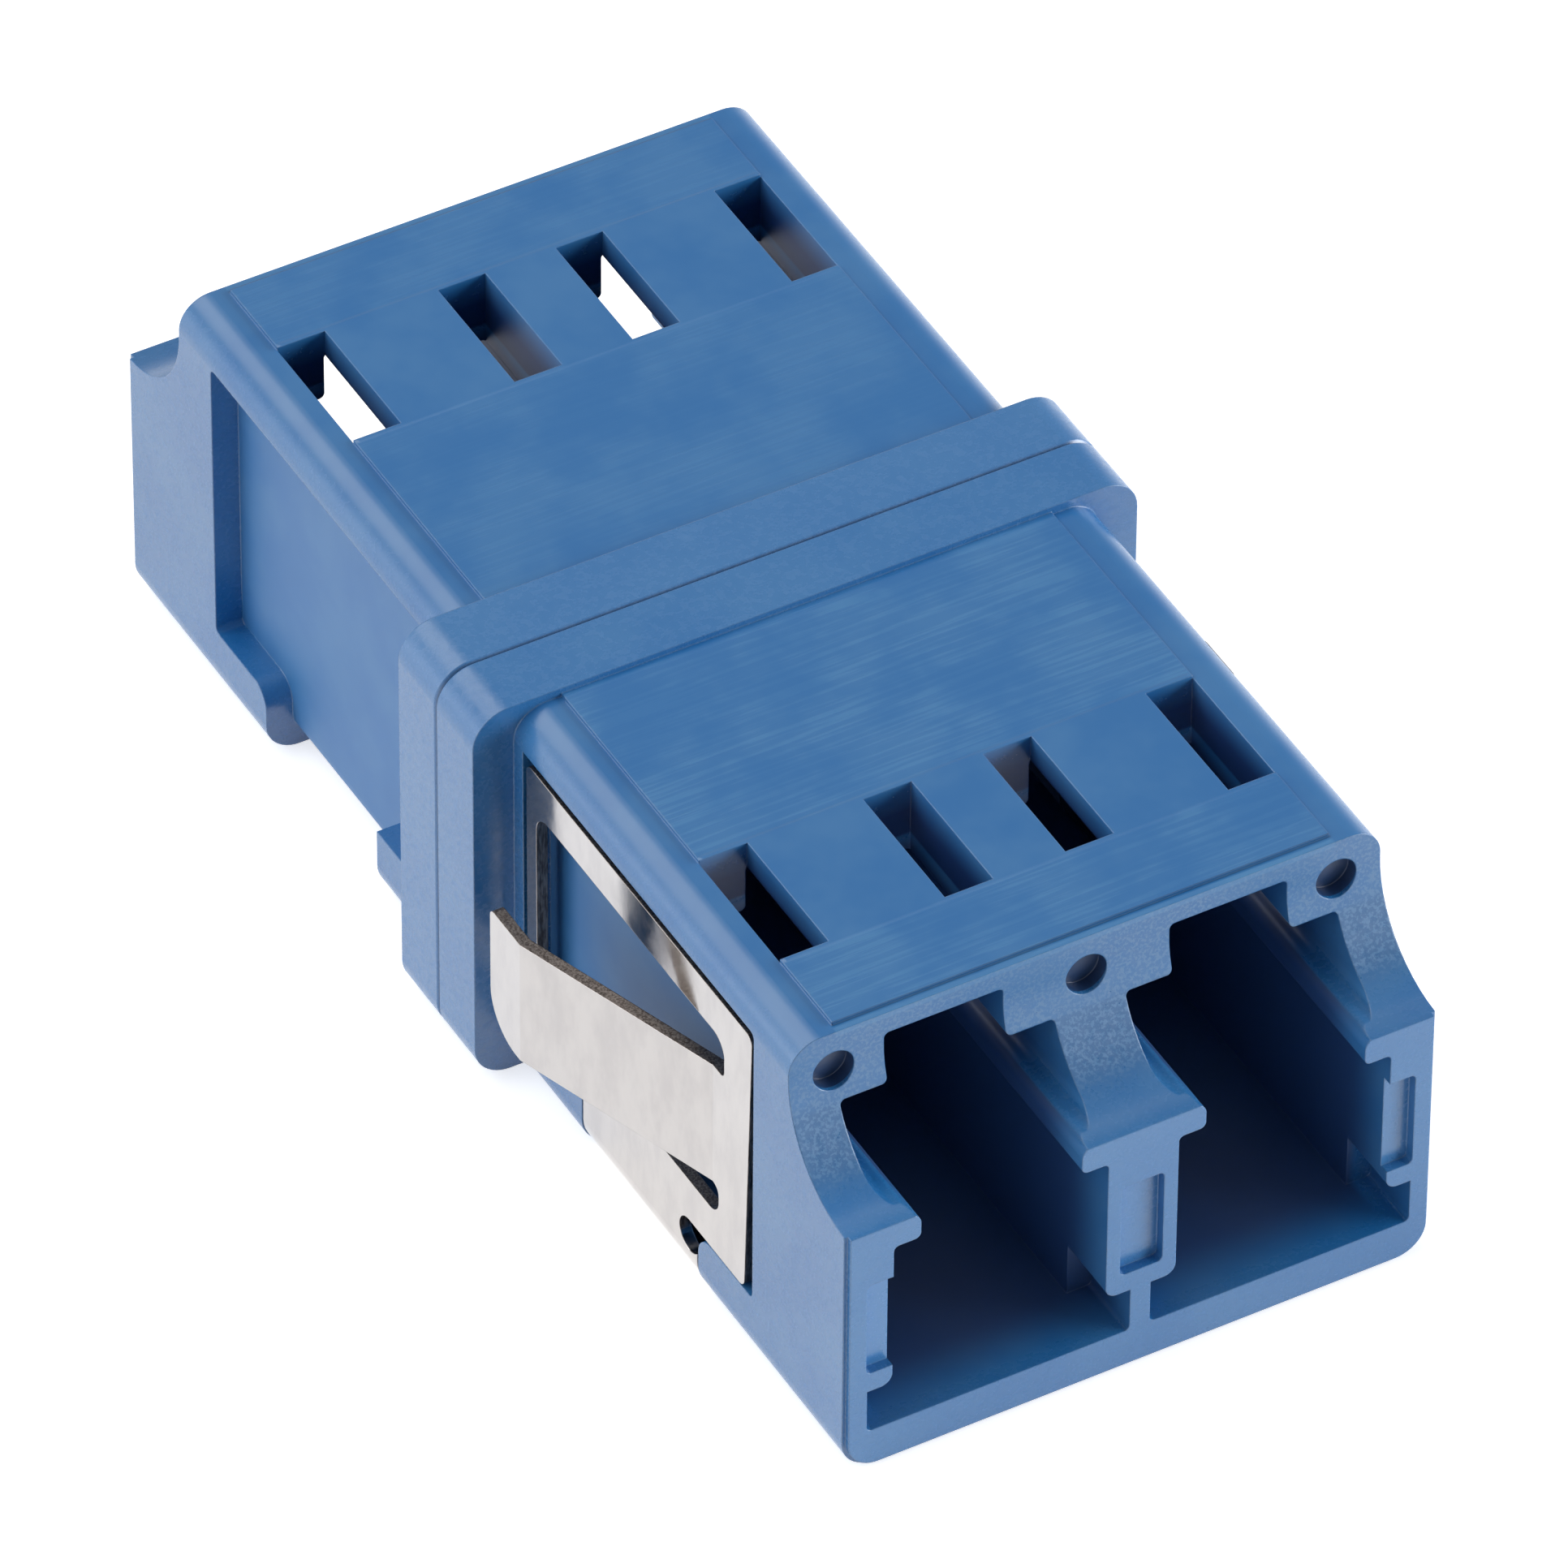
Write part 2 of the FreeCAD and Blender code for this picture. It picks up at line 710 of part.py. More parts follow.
def draw_opening(outline):
    """The opening in a plate; between its two slits the sheet runs on into the tab."""
    corner, tight = size("opening_corner"), size("slit_corner")
    tab_bottom, tab_top = tab_heights()
    outline.stepped([("upright", -size("opening_rear"), corner),
                     ("level", plate_top() - size("opening_rim"), size("slit_round")),
                     ("upright", -size("upper_slit_end"), tight),
                     ("level", tab_top, None),
                     ("upright", -size("hinge"), None),
                     ("level", tab_bottom, size("hinge_round")),
                     ("upright", -size("lower_slit_end"), size("slit_floor_round")),
                     ("level", size("opening_bottom"), corner)])


def add_tab(body, side):
    """The lanced tab leans out of the plate and then runs level with it to its free end."""
    angle, sheet = size("tab_angle" if side < 0 else "right_tab_angle"), size("sheet")
    outer = clip_half_width() * side
    root, hinge = -size("hinge") - sheet, -size("hinge")
    out = outer + size("tab_length") * sine(angle) * side
    knee = hinge + size("tab_length") * cosine(angle)
    tip = knee + size("tab_tip")
    # Inside a bend the sheet's inner face turns later than its outer face
    lag = sheet * sine(angle / 2) / cosine(angle / 2)
    inner, inside = outer - sheet * side, out - sheet * side
    bottom, top = tab_heights()
    name = "TabLeft" if side < 0 else "TabRight"
    outline = drawing(body, f"{name}Outline", "XY_Plane", bottom)
    outline.polygon([(outer, root), (outer, hinge), (out, knee), (out, tip), (inside, tip),
                     (inside, knee + lag), (inner, hinge + lag), (inner, root)])
    extrude(body, "Pad", name, outline, top - bottom)


def check(doc, parts):
    """Stop before anything is written if an object failed or a shape is unsound."""
    for item in doc.Objects:
        if {"Invalid", "Error"} & set(item.State):
            raise ValueError(f"{item.Label} failed: {item.State}")
    for part in parts:
        shape = part.Shape
        if shape.isNull() or not shape.isValid() or len(shape.Solids) != 1:
            raise ValueError(f"{part.Label} is not one sound solid")


def main():
    doc = FreeCAD.newDocument("LcDuplexAdapter")
    make_sheet(doc)
    left, right = port_places()
    parts = [make_housing(doc, "front_housing", 0),
             make_housing(doc, "rear_housing", 180),
             make_sleeve(doc, "alignment_sleeve_left", left),
             make_sleeve(doc, "alignment_sleeve_right", right),
             make_clip(doc)]
    doc.recompute()
    check(doc, parts)
    os.makedirs("parts", exist_ok=True)
    for part in parts:
        part.Shape.exportStep(f"parts/{part.Label}.step")
        box = part.Shape.BoundBox
        print(f"{part.Label}: {part.Shape.Volume:.2f} mm3, {len(part.Shape.Faces)} faces, "
              f"{box.XLength:.2f} x {box.YLength:.2f} x {box.ZLength:.2f}")


main()
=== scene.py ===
# Looks of the duplex fibre adapter: satin blue mouldings, a stainless spring clip, white sleeves.
import math

import bpy
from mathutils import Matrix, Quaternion, Vector


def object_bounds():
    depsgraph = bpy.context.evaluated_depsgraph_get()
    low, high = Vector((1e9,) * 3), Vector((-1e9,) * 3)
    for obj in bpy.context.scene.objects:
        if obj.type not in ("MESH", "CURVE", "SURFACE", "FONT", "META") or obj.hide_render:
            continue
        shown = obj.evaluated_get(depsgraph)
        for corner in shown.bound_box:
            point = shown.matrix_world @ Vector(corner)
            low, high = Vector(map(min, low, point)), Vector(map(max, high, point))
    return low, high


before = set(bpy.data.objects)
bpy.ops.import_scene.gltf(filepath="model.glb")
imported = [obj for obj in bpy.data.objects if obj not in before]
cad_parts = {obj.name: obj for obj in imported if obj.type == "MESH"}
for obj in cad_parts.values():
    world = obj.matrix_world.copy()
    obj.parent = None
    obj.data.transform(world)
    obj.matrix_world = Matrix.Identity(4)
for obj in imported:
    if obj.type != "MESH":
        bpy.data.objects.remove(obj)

MM = 0.001
CAD_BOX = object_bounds()

# Where the camera stands: its angle above and round the object, and what it looks at
CAMERA_AIM = Vector((-0.05, -0.71, 3.99)) * MM
CAMERA_AZIMUTH = -29.63
CAMERA_ELEVATION = 42.36
CAMERA_ROLL = 0.45
CAMERA_DISTANCE = 340.8 * MM
CAMERA_LENS = 399.0

FLOOR_SIZE = 3.0


def direction(azimuth, elevation):
    """From the object towards a place seen at this angle; azimuth 0 is in front, at -Y."""
    a, e = math.radians(azimuth), math.radians(elevation)
    return Vector((math.sin(a) * math.cos(e), -math.cos(a) * math.cos(e), math.sin(e)))


def make_camera():
    camera = bpy.data.objects.new("camera", bpy.data.cameras.new("camera"))
    bpy.context.scene.collection.objects.link(camera)
    back = direction(CAMERA_AZIMUTH, CAMERA_ELEVATION)
    camera.location = CAMERA_AIM + back * CAMERA_DISTANCE
    camera.rotation_mode = "QUATERNION"
    level = (-back).to_track_quat("-Z", "Y")
    camera.rotation_quaternion = level @ Quaternion((0, 0, 1), math.radians(CAMERA_ROLL))
    camera.data.lens = CAMERA_LENS
    camera.data.clip_start = 0.01
    camera.data.clip_end = 10.0
    bpy.context.scene.camera = camera


# Node trees --------------------------------------------------------------------------------------

class Tree:
    """A short way to write a node tree: every call adds one node and links its inputs."""

    def __init__(self, owner):
        owner.use_nodes = True
        self.nodes = owner.node_tree.nodes
        self.links = owner.node_tree.links
        self.nodes.clear()

    def add(self, kind, inputs=None, **settings):
        node = self.nodes.new(kind)
        for name, value in settings.items():
            setattr(node, name, value)
        for name, value in (inputs or {}).items():
            if isinstance(value, bpy.types.NodeSocket):
                self.links.new(value, node.inputs[name])
            else:
                node.inputs[name].default_value = value
        return node

    def math(self, operation, first, second=0.0):
        return self.add("ShaderNodeMath", {0: first, 1: second}, operation=operation).outputs[0]

    def mix(self, factor, first, second):
        """Blend two colours."""
        node = self.add("ShaderNodeMix", data_type="RGBA")
        for index, value in ((0, factor), (6, first), (7, second)):
            if isinstance(value, bpy.types.NodeSocket):
                self.links.new(value, node.inputs[index])
            else:
                node.inputs[index].default_value = value
        return node.outputs[2]

    def between(self, value, low, high, to_low=0.0, to_high=1.0, smooth=True):
        """Map a range of values onto another, held at both ends."""
        node = self.add("ShaderNodeMapRange", {
            "Value": value, "From Min": low, "From Max": high, "To Min": to_low, "To Max": to_high})
        node.interpolation_type = "SMOOTHSTEP" if smooth else "LINEAR"
        node.clamp = True
        return node.outputs["Result"]

    def noise(self, place, scale, detail, roughness):
        node = self.add("ShaderNodeTexNoise", {
            "Vector": place, "Scale": scale, "Detail": detail, "Roughness": roughness})
        return node.outputs["Fac"]

    def stretched(self, place, factors):
        node = self.add("ShaderNodeVectorMath", {0: place, 1: factors}, operation="MULTIPLY")
        return node.outputs[0]

    def parts(self, vector):
        return self.add("ShaderNodeSeparateXYZ", {0: vector}).outputs

    def absolute(self, value):
        return self.math("ABSOLUTE", value)

    def inverse(self, mask):
        return self.math("SUBTRACT", 1.0, mask)

    def product(self, first, *others):
        for other in others:
            first = self.math("MULTIPLY", first, other)
        return first

    def largest(self, first, *others):
        for other in others:
            first = self.math("MAXIMUM", first, other)
        return first

    def bumped(self, height, edge, samples):
        """The face's normal with its edges rounded off and a height pattern on it."""
        rounded = self.add("ShaderNodeBevel", {"Radius": edge}, samples=samples).outputs[0]
        return self.add("ShaderNodeBump", {
            "Strength": BUMP_STRENGTH, "Distance": BUMP_DEPTH, "Height": height,
            "Normal": rounded}).outputs[0]


def rgb(red, green, blue):
    """A display colour, 0 to 255, as linear light."""
    def linear(value):
        value /= 255
        return value / 12.92 if value <= 0.04045 else ((value + 0.055) / 1.055) ** 2.4
    return (linear(red), linear(green), linear(blue), 1.0)


def in_millimetres(tree):
    """The place on the object in millimetres: the nodes' meshes hold their places."""
    place = tree.add("ShaderNodeTexCoord").outputs["Object"]
    return tree.stretched(place, (1000.0, 1000.0, 1000.0))


# Materials ---------------------------------------------------------------------------------------

PLASTIC_BLUE = rgb(33, 106, 168)
PLASTIC_PALE = rgb(54, 116, 172)
PORT_SHADE = rgb(24, 65, 118)
SCOOP_SHADE = rgb(40, 98, 150)
SCOOP_FLECK = rgb(74, 122, 168)
DIMPLE_SHADE = rgb(26, 60, 104)
COLLAR_PALE = rgb(66, 122, 178)
SEAM_AND_STEP_SHADE = rgb(16, 50, 86)
SLOT_SHADE = rgb(14, 56, 112)
WALL_LIT = rgb(62, 146, 208)
RIM_PAINTED_LIGHT = rgb(74, 134, 192)
STREAK_AND_HIGHLIGHT = rgb(78, 138, 186)

# Places on the moulding in millimetres, from the parting plane, the middle and the underside
MOUTH = 14.6
SET_BACK_FACE = 12.3
PANEL_FRONT = 12.1
PANEL_HALF = 5.45
COLLAR_HALF = 1.5
LIP_HEIGHT = 6.2
TOP = 9.37
TOP_BORDER = 9.2
PORT_CENTRE = 3.125
PORT_SIDE = 5.6
POST_SIDE = 6.2
PORT_FLOOR = 0.9
LATCH_HALF = 1.3
LATCH_ROOF = 8.78
WING_ROOF = 7.6
SHADE_DEPTH = 1.6
SLOTS_START = 6.95
SLOTS_END = 10.1
SLOT_SIDE = 5.8
SLOT_FOOT = 8.1
SLOT_DARK = 8.65
DIMPLE_PITCH = 5.52
DIMPLE_HEIGHT = 8.35
DIMPLE_RADIUS = 0.5

# Noise patterns: scale for each millimetre, detail, roughness
GRAIN = (7.0, 3.0, 0.5)
SPECKS = (13.0, 2.0, 0.6)
BLOTCHES = (0.5, 3.0, 0.55)
STREAKS = (1.6, 3.0, 0.5)
STREAK_STRETCH = (0.22, 5.4, 1.0)

# How far each tint covers the blue, 0 to 1
SCOOP_TINT = 0.35
COLLAR_TINT = 0.35
REAR_COLLAR_TINT = 0.25
STREAK_TINT_FRONT = 0.38
STREAK_TINT_REAR = 0.12
SEAM_TINT = 0.5
BORDER_TINT = 0.35
RIM_TINT = 0.3
PAD_TINT = 0.75
WALL_TINT = 0.8

# How far each mark stands out in the height pattern, whose full depth is BUMP_DEPTH
SIDE_GRAIN = 0.15
TOP_GRAIN = 0.02
COARSE_GRAIN = 0.15
PIT_HEIGHT = 0.35
STREAK_HEIGHT = 0.5
BAND_HEIGHT = 3.0
BUMP_STRENGTH = 0.3
BUMP_DEPTH = 0.02 * MM

PLASTIC_ROUGHNESS = 0.26
DULL_ROUGHNESS = 0.25
GRAIN_ROUGHNESS = 1.6
PLASTIC_EDGE = 0.04 * MM


class Spot:
    """A point of the moulding: its place in millimetres and how far its face looks each way."""

    def __init__(self, tree):
        self.place = in_millimetres(tree)
        self.x, self.y, self.z = tree.parts(self.place)
        self.aside, self.away = tree.absolute(self.x), tree.absolute(self.y)
        facing = tree.parts(tree.add("ShaderNodeNewGeometry").outputs["Normal"])
        self.up = facing["Z"]
        self.sideways, self.endways = tree.absolute(facing["X"]), tree.absolute(facing["Y"])


def inside_ports(tree, at):
    """1 inside the ports, falling to 0 at their mouths and outside."""
    # The lower channels open at the mouth's plane, the upper ones at the set-back face
    channel = tree.between(at.away, MOUTH - SHADE_DEPTH, MOUTH - 0.1, 1.0, 0.0)
    wings = tree.between(at.away, SET_BACK_FACE - SHADE_DEPTH, SET_BACK_FACE - 0.1, 1.0, 0.0)
    over_lip = tree.between(at.z, LIP_HEIGHT, LIP_HEIGHT + 0.02, smooth=False)
    deep = tree.math("ADD", tree.product(channel, tree.inverse(over_lip)),
                     tree.product(wings, over_lip))
    # The latch channel alone reaches up to the top, between the two slots
    offset = tree.absolute(tree.math("SUBTRACT", at.aside, PORT_CENTRE))
    latch = tree.product(tree.between(offset, LATCH_HALF, LATCH_HALF + 0.02, 1.0, 0.0),
                         tree.between(at.z, LATCH_ROOF, LATCH_ROOF + 0.05, 1.0, 0.0))
    under_top = tree.largest(latch, tree.between(at.z, WING_ROOF, WING_ROOF + 0.4, 1.0, 0.0))
    return tree.product(deep, under_top,
                        tree.between(at.aside, PORT_SIDE - 0.1, PORT_SIDE + 0.1, 1.0, 0.0),
                        tree.between(at.z, PORT_FLOOR - 0.2, PORT_FLOOR))


def over_mouth(tree, at):
    """1 on the set-back face and down the scoop's curve, 0 on the flat lip."""
    return tree.product(tree.between(at.away, SET_BACK_FACE - 0.1, SET_BACK_FACE - 0.03),
                        tree.between(at.away, MOUTH - 0.15, MOUTH - 0.05, 1.0, 0.0),
                        tree.between(at.z, LIP_HEIGHT - 0.1, LIP_HEIGHT),
                        tree.between(at.up, 0.75, 0.97, 1.0, 0.0),
                        tree.between(at.sideways, 0.4, 0.6, 1.0, 0.0))


def in_dimples(tree, at):
    """1 in the three round dimples of the set-back face."""
    half = DIMPLE_PITCH / 2
    fold = tree.absolute(tree.math("SUBTRACT", at.aside, half))
    across = tree.math("SUBTRACT", fold, half)
    upwards = tree.math("SUBTRACT", at.z, DIMPLE_HEIGHT)
    apart = tree.math("ADD", tree.product(across, across), tree.product(upwards, upwards))
    rim = DIMPLE_RADIUS ** 2
    return tree.product(tree.between(apart, rim - 0.02, rim + 0.02, 1.0, 0.0),
                        tree.between(at.away, SET_BACK_FACE - 0.6, SET_BACK_FACE - 0.5),
                        tree.between(at.away, SET_BACK_FACE - 0.03, SET_BACK_FACE - 0.01, 1.0, 0.0))


def beside_slots(tree, at):
    """1 in the smooth band across the top that the latch slots stand in."""
    return tree.product(tree.between(at.away, SLOTS_START - 0.15, SLOTS_START - 0.05),
                        tree.between(at.away, SLOTS_END + 0.05, SLOTS_END + 0.15, 1.0, 0.0),
                        tree.between(at.aside, PANEL_HALF - 0.1, PANEL_HALF, 1.0, 0.0))


def down_slots(tree, at):
    """0 at the latch slots' upper edges, rising to 1 down their walls."""
    return tree.product(tree.between(at.z, SLOT_DARK, TOP, 1.0, 0.0, smooth=False),
                        tree.between(at.z, SLOT_FOOT - 0.1, SLOT_FOOT),
                        tree.between(tree.absolute(at.up), 0.3, 0.6, 1.0, 0.0),
                        tree.between(at.away, SLOTS_START - 0.1, SLOTS_START - 0.05),
                        tree.between(at.away, SLOTS_END + 0.05, SLOTS_END + 0.1, 1.0, 0.0),
                        tree.between(at.aside, SLOT_SIDE - 0.1, SLOT_SIDE, 1.0, 0.0))


def before_panel(tree, at):
    """Two masks on the top: the painted shade line at the foot of the panel's front step, the
    painted highlight strip before it.
    """
    on_border = tree.product(tree.between(at.z, TOP_BORDER - 0.05, TOP_BORDER),
                             tree.between(at.aside, PANEL_HALF, PANEL_HALF + 0.05, 1.0, 0.0))
    line = tree.product(on_border, tree.between(at.away, PANEL_FRONT - 0.03, PANEL_FRONT - 0.01),
                        tree.between(at.away, PANEL_FRONT + 0.03, PANEL_FRONT + 0.05, 1.0, 0.0))
    strip = tree.product(on_border, tree.between(at.away, PANEL_FRONT + 0.06, PANEL_FRONT + 0.1))
    return line, strip


def mouth_painted_light(tree, at):
    """How much painted light the mouth's front faces get, and the pads set into them more."""
    rim = tree.product(tree.between(at.away, MOUTH - 0.3, MOUTH - 0.25),
                       tree.between(at.endways, 0.6, 0.9))
    tint = tree.between(at.away, MOUTH - 0.18, MOUTH - 0.15, PAD_TINT, RIM_TINT)
    return tree.product(rim, tint)


class Marks:
    """The masks and patterns that the plastic's colour, bump and gloss share."""

    def __init__(self, tree, at):
        self.grain = tree.noise(at.place, *GRAIN)
        self.specks = tree.noise(at.place, *SPECKS)
        self.blotches = tree.noise(at.place, *BLOTCHES)
        self.ports = inside_ports(tree, at)
        self.scoop = over_mouth(tree, at)
        self.dimples = in_dimples(tree, at)
        self.slots = down_slots(tree, at)
        self.inner_wall = tree.product(
            tree.between(at.aside, POST_SIDE - 0.05, POST_SIDE + 0.05, 1.0, 0.0),
            tree.between(at.sideways, 0.6, 0.9))
        off_collar = tree.between(at.away, COLLAR_HALF, COLLAR_HALF + 0.05)
        self.collar = tree.inverse(off_collar)
        above = tree.between(at.z, TOP_BORDER - 0.1, TOP_BORDER)
        self.plain_top = tree.product(above, off_collar)
        on_top = tree.product(tree.between(at.up, 0.8, 0.95), above)
        smooth_band = beside_slots(tree, at)
        self.band = tree.product(smooth_band, on_top)
        # Streaks drawn across the raised panel, except beside the slots
        streaks = tree.noise(tree.stretched(at.place, STREAK_STRETCH), *STREAKS)
        on_panel = tree.between(at.aside, PANEL_HALF - 0.05, PANEL_HALF, 1.0, 0.0)
        self.streaked = tree.product(
            tree.between(streaks, 0.45, 0.62), on_top, off_collar, on_panel,
            tree.inverse(smooth_band), tree.between(self.blotches, 0.35, 0.6, 0.25, 1.0))
        self.open_air = tree.product(tree.between(self.ports, 0.02, 0.15, 1.0, 0.0),
                                     tree.inverse(tree.largest(self.inner_wall, self.slots)))
        # How strongly the grain shows: little on the top, most on the collar and in the scoop
        self.skin = tree.math("ADD", tree.between(self.plain_top, 0.0, 1.0, SIDE_GRAIN, TOP_GRAIN),
                              tree.product(tree.largest(self.scoop, self.collar), COARSE_GRAIN))


def plastic_colour(tree, at, marks):
    """Blue, laid over with one tint after another: painted shade in the ports, scoop, dimples and
    slots, painted light on the mouth's front faces and the inner walls at the mouth, a painted
    shade line and highlight strip at the panel's front edge, and the plastic's own streaks, flecks
    and seam line, with a paler collar.
    """
    hollow = tree.largest(tree.between(at.endways, 0.9, 0.99, 1.0, 0.0), SCOOP_TINT)
    rear_collar = tree.product(marks.collar, tree.between(at.y, 0.0, 0.02))
    paler = tree.math("ADD", tree.product(marks.collar, COLLAR_TINT),
                      tree.product(rear_collar, REAR_COLLAR_TINT))
    worn = tree.between(at.y, -COLLAR_HALF, COLLAR_HALF, STREAK_TINT_FRONT, STREAK_TINT_REAR)
    line, strip = before_panel(tree, at)
    lit = tree.product(marks.inner_wall, tree.between(at.away, SET_BACK_FACE + 0.2, MOUTH - 0.1),
                       tree.between(at.z, LIP_HEIGHT, LIP_HEIGHT + 0.1))
    tints = (
        (tree.product(marks.scoop, hollow), SCOOP_SHADE),
        (marks.ports, PORT_SHADE),
        (marks.dimples, DIMPLE_SHADE),
        (paler, COLLAR_PALE),
        (tree.product(marks.streaked, worn), STREAK_AND_HIGHLIGHT),
        (tree.product(marks.scoop, tree.between(marks.specks, 0.45, 0.62)), SCOOP_FLECK),
        # The halves meet in a fine line round the collar
        (tree.between(at.away, 0.02, 0.045, SEAM_TINT, 0.0), SEAM_AND_STEP_SHADE),
        # Painted shade: a dark line at the foot of the panel's front step
        (tree.product(line, BORDER_TINT), SEAM_AND_STEP_SHADE),
        # Painted highlight: a pale strip along the panel's lit front edge
        (tree.product(strip, BORDER_TINT), STREAK_AND_HIGHLIGHT),
        # Painted light on the mouth's front faces and, more, on the pads set into them
        (mouth_painted_light(tree, at), RIM_PAINTED_LIGHT),
        (marks.slots, SLOT_SHADE),
        (tree.product(lit, WALL_TINT), WALL_LIT),
    )
    colour = tree.mix(tree.between(marks.blotches, 0.3, 0.7), PLASTIC_BLUE, PLASTIC_PALE)
    for share, tint in tints:
        colour = tree.mix(share, colour, tint)
    return colour


def plastic_height(tree, marks):
    """Fine grain, pits in the scoop, the drawn streaks, and the band that stands out on the top."""
    pitted = tree.product(marks.specks, marks.scoop, PIT_HEIGHT)
    skin = tree.math("ADD", tree.product(marks.grain, marks.skin), pitted)
    texture = tree.math("ADD", skin, tree.product(marks.streaked, STREAK_HEIGHT))
    return tree.math("ADD", tree.product(texture, marks.open_air),
                     tree.product(marks.band, BAND_HEIGHT))


def plastic_roughness(tree, marks):
    """Satin, uneven with the grain, and duller inside the ports, scoop and dimples."""
    uneven = tree.product(tree.math("SUBTRACT", marks.grain, 0.5), marks.skin, marks.open_air,
                          GRAIN_ROUGHNESS)
    dull = tree.largest(marks.ports, marks.inner_wall,
                        tree.product(tree.largest(marks.scoop, marks.dimples), 0.5))
    return tree.math("ADD", tree.math("ADD", uneven, PLASTIC_ROUGHNESS),
                     tree.product(dull, DULL_ROUGHNESS))


def plastic_material():
    """Blue moulded plastic: fine grain on every face, drawn streaks across the top."""
    material = bpy.data.materials.new("blue_plastic")
    tree = Tree(material)
    at = Spot(tree)
    marks = Marks(tree, at)
    shader = tree.add("ShaderNodeBsdfPrincipled", {
        "Base Color": plastic_colour(tree, at, marks), "Roughness": plastic_roughness(tree, marks),
        "Specular IOR Level": 1.0,
        "Normal": tree.bumped(plastic_height(tree, marks), PLASTIC_EDGE, 8)})
    tree.add("ShaderNodeOutputMaterial", {"Surface": shader.outputs[0]})
    return material


STEEL = rgb(200, 196, 194)
STEEL_DULL = rgb(191, 187, 186)
STEEL_CUT = rgb(140, 132, 126)
STEEL_TORN = rgb(84, 76, 72)
ROLLED = (2.5, 4.0, 0.6)
ROLLED_STRETCH = (0.8, 0.8, 0.3)
SHEARED = (3.0, 3.0, 0.6)
SHEARED_STRETCH = (8.0, 8.0, 1.0)
SMEARS = (1.1, 3.0, 0.55)
STEEL_EDGE = 0.03 * MM


def steel_material():
    """Stainless spring sheet: satin faces with a rolled grain, and rough sheared edges."""
    material = bpy.data.materials.new("spring_steel")
    tree = Tree(material)
    place = in_millimetres(tree)
    z = tree.parts(place)["Z"]
    facing = tree.parts(tree.add("ShaderNodeNewGeometry").outputs["Normal"])
    # The plates stand upright, so whatever faces up, down or along the fibres there is a cut edge
    upright = tree.between(tree.absolute(facing["X"]), 0.1, 0.25, 1.0, 0.0)
    cut = tree.product(upright, tree.between(z, 1.0, 1.2))

    rolled = tree.noise(tree.stretched(place, ROLLED_STRETCH), *ROLLED)
    sheared = tree.noise(tree.stretched(place, SHEARED_STRETCH), *SHEARED)
    smears = tree.noise(place, *SMEARS)
    sheet = tree.mix(tree.between(rolled, 0.35, 0.7), STEEL, STEEL_DULL)
    height = tree.math("ADD", tree.product(rolled, 0.25), tree.product(cut, sheared))
    satin = tree.between(smears, 0.3, 0.7, 0.08, 0.16)
    roughness = tree.math("ADD", satin, tree.product(cut, 0.3))
    torn = tree.mix(tree.between(sheared, 0.35, 0.65), STEEL_TORN, STEEL_CUT)
    shader = tree.add("ShaderNodeBsdfPrincipled", {
        "Base Color": tree.mix(cut, sheet, torn), "Metallic": 1.0,
        "Roughness": roughness, "Normal": tree.bumped(height, STEEL_EDGE, 6)})
    tree.add("ShaderNodeOutputMaterial", {"Surface": shader.outputs[0]})
    return material


CERAMIC_WARM = rgb(236, 234, 226)
CERAMIC_WHITE = rgb(244, 243, 238)
CLOUDS = (1.5, 2.0, 0.5)


def ceramic_material():
    """Polished white zirconia, faintly warm and a little uneven."""
    material = bpy.data.materials.new("zirconia")
    tree = Tree(material)
    place = in_millimetres(tree)
    clouds = tree.noise(place, *CLOUDS)
    colour = tree.mix(clouds, CERAMIC_WARM, CERAMIC_WHITE)
    shader = tree.add("ShaderNodeBsdfPrincipled", {
        "Base Color": colour, "Roughness": tree.between(clouds, 0.3, 0.7, 0.12, 0.2)})
    tree.add("ShaderNodeOutputMaterial", {"Surface": shader.outputs[0]})
    return material


def dress_nodes():
    """Give every piece its material."""
    plastic, steel, ceramic = plastic_material(), steel_material(), ceramic_material()
    looks = {"front_housing": plastic, "rear_housing": plastic, "mounting_clip": steel,
             "alignment_sleeve_left": ceramic, "alignment_sleeve_right": ceramic}
    for name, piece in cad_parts.items():
        piece.data.materials.clear()
        piece.data.materials.append(looks[name])


# Studio ------------------------------------------------------------------------------------------

FLOOR_COLOUR = (0.8, 0.8, 0.8, 1.0)
FLOOR_PALE = (0.82, 0.82, 0.82, 1.0)
FLOOR_SPECKLE = (0.02, 2.0, 0.5)
FLOOR_GLOW = 0.62


def seen_directly(tree):
    """1 for rays that show the background: from the camera, off gloss or through glass."""
    path = tree.add("ShaderNodeLightPath").outputs
    return tree.largest(path["Is Camera Ray"], path["Is Glossy Ray"], path["Is Transmission Ray"])


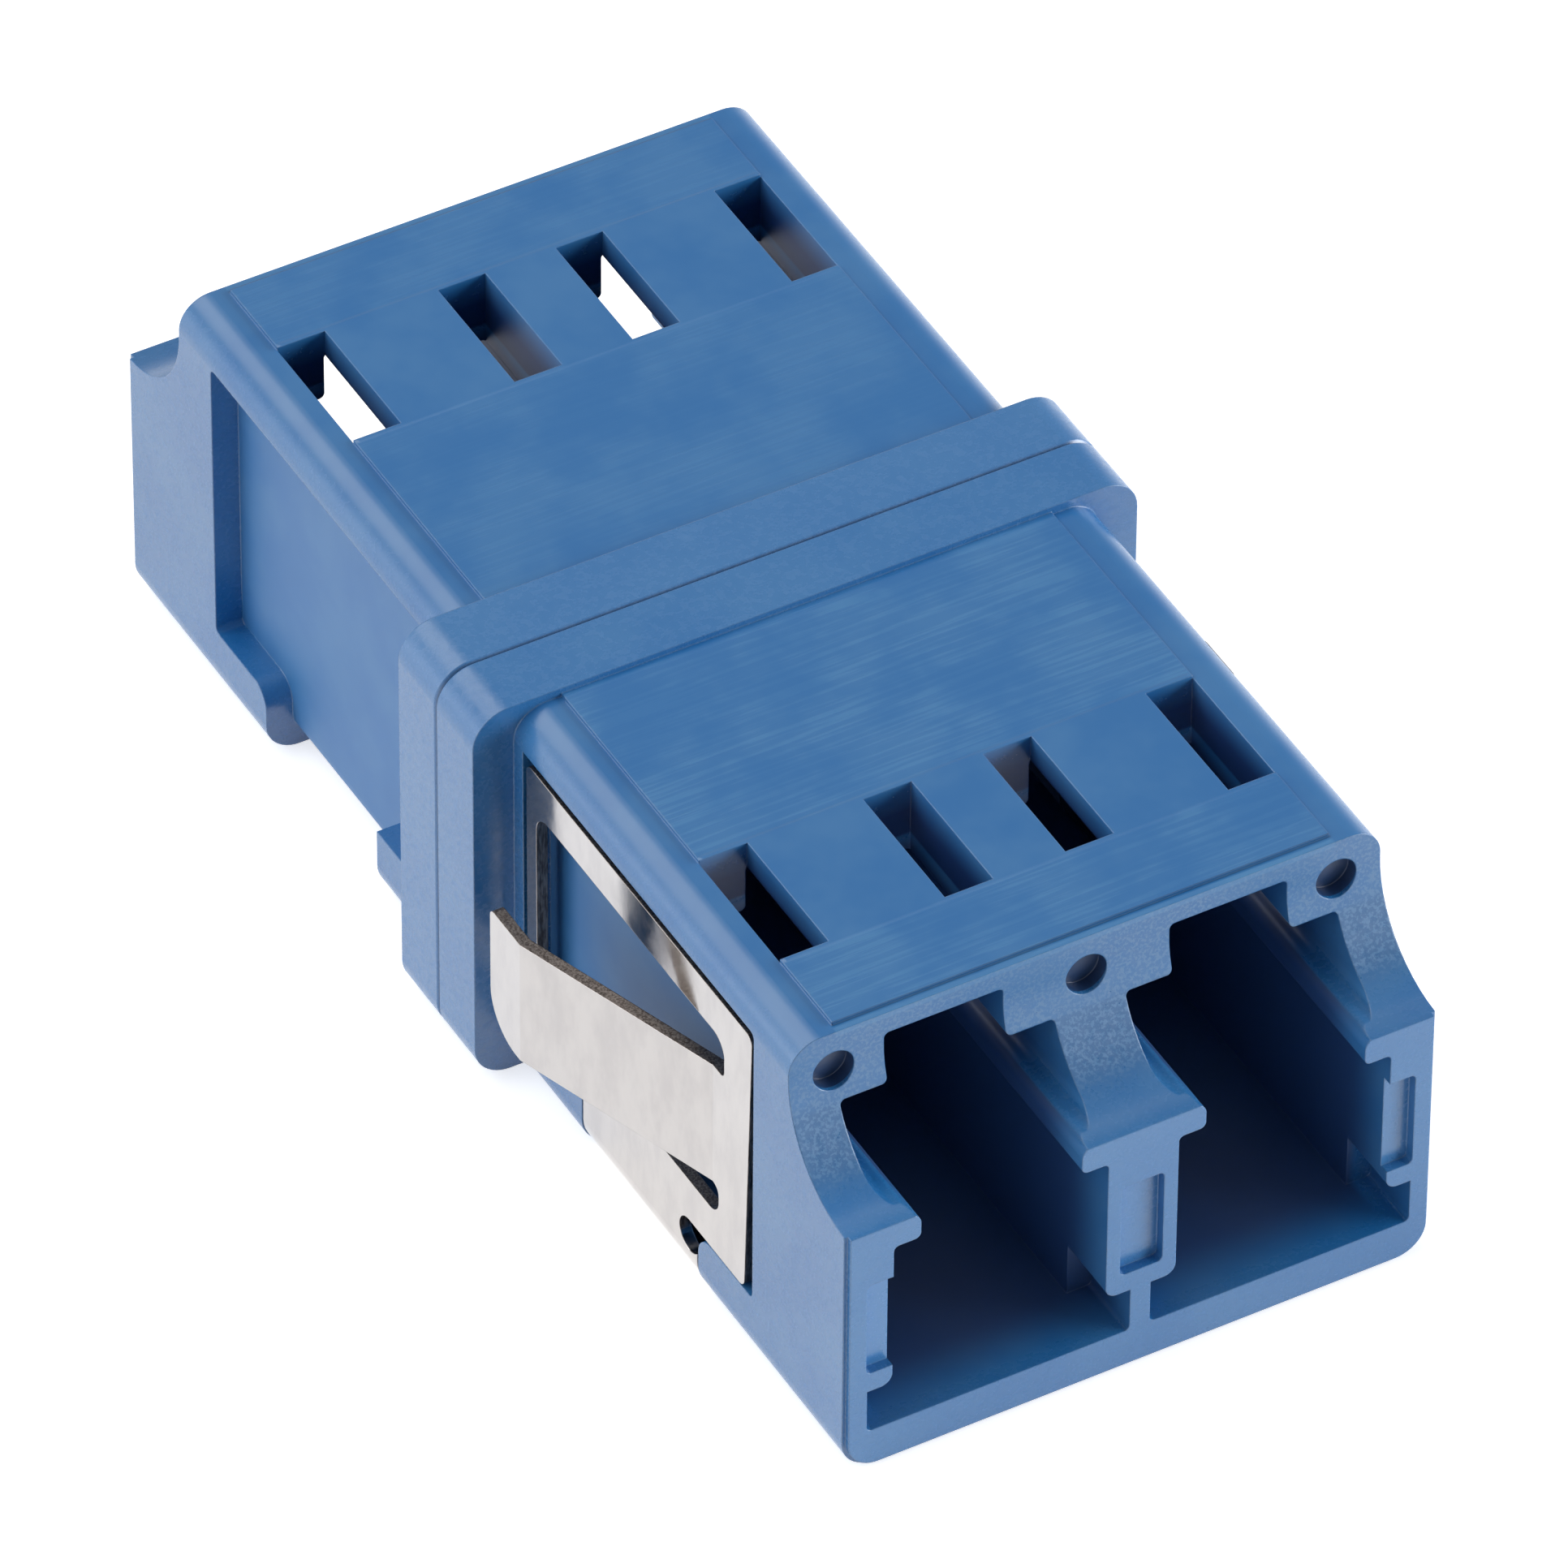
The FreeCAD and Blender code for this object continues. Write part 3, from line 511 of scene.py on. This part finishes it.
def make_floor():
    """A pale floor that shows white and keeps a soft shadow."""
    half = FLOOR_SIZE / 2
    mesh = bpy.data.meshes.new("floor")
    corners = [(-half, -half, 0), (half, -half, 0), (half, half, 0), (-half, half, 0)]
    mesh.from_pydata(corners, [], [(0, 1, 2, 3)])
    floor = bpy.data.objects.new("floor", mesh)
    floor.location.z = CAD_BOX[0].z
    bpy.context.scene.collection.objects.link(floor)

    material = bpy.data.materials.new("floor")
    tree = Tree(material)
    speckle = tree.noise(in_millimetres(tree), *FLOOR_SPECKLE)
    colour = tree.mix(speckle, FLOOR_COLOUR, FLOOR_PALE)
    diffuse = tree.add("ShaderNodeBsdfDiffuse", {"Color": colour}).outputs[0]
    strength = tree.product(seen_directly(tree), FLOOR_GLOW)
    glow = tree.add("ShaderNodeEmission", {"Strength": strength}).outputs[0]
    both = tree.add("ShaderNodeAddShader", {0: diffuse, 1: glow}).outputs[0]
    tree.add("ShaderNodeOutputMaterial", {"Surface": both})
    mesh.materials.append(material)


WORLD_FILL = 0.22
CEILING_GLOSS = 0.35
CEILING_RISE = 0.42


def make_world():
    """White surroundings: plain white to the camera, with a dimmer ceiling in the gloss."""
    world = bpy.data.worlds.new("studio")
    bpy.context.scene.world = world
    tree = Tree(world)
    up = tree.parts(tree.add("ShaderNodeTexCoord").outputs["Generated"])["Z"]
    path = tree.add("ShaderNodeLightPath").outputs
    ceiling = tree.between(up, 0.0, CEILING_RISE, 1.0, CEILING_GLOSS)
    gloss = tree.product(path["Is Glossy Ray"], ceiling)
    share = tree.largest(path["Is Camera Ray"], path["Is Transmission Ray"], gloss, WORLD_FILL)
    shader = tree.add("ShaderNodeBackground", {"Color": (1, 1, 1, 1), "Strength": share})
    tree.add("ShaderNodeOutputWorld", {"Surface": shader.outputs[0]})


LAMPS = {
    # name: (azimuth, elevation, distance in m, side in m, power in W)
    "left": (-105, 25, 0.6, 0.6, 1.9),
    "right": (61, 8, 0.6, 0.45, 5.2),
    "above": (-150, 62, 0.7, 0.7, 2.55),
}


def make_lamps():
    for name, (azimuth, elevation, distance, side, power) in LAMPS.items():
        lamp = bpy.data.lights.new(name, "AREA")
        lamp.size = side
        lamp.energy = power
        holder = bpy.data.objects.new(name, lamp)
        back = direction(azimuth, elevation)
        holder.location = CAMERA_AIM + back * distance
        holder.rotation_mode = "QUATERNION"
        holder.rotation_quaternion = (-back).to_track_quat("-Z", "Y")
        bpy.context.scene.collection.objects.link(holder)


make_camera()
dress_nodes()
make_floor()
make_world()
make_lamps()
bpy.context.scene.view_settings.view_transform = "Standard"
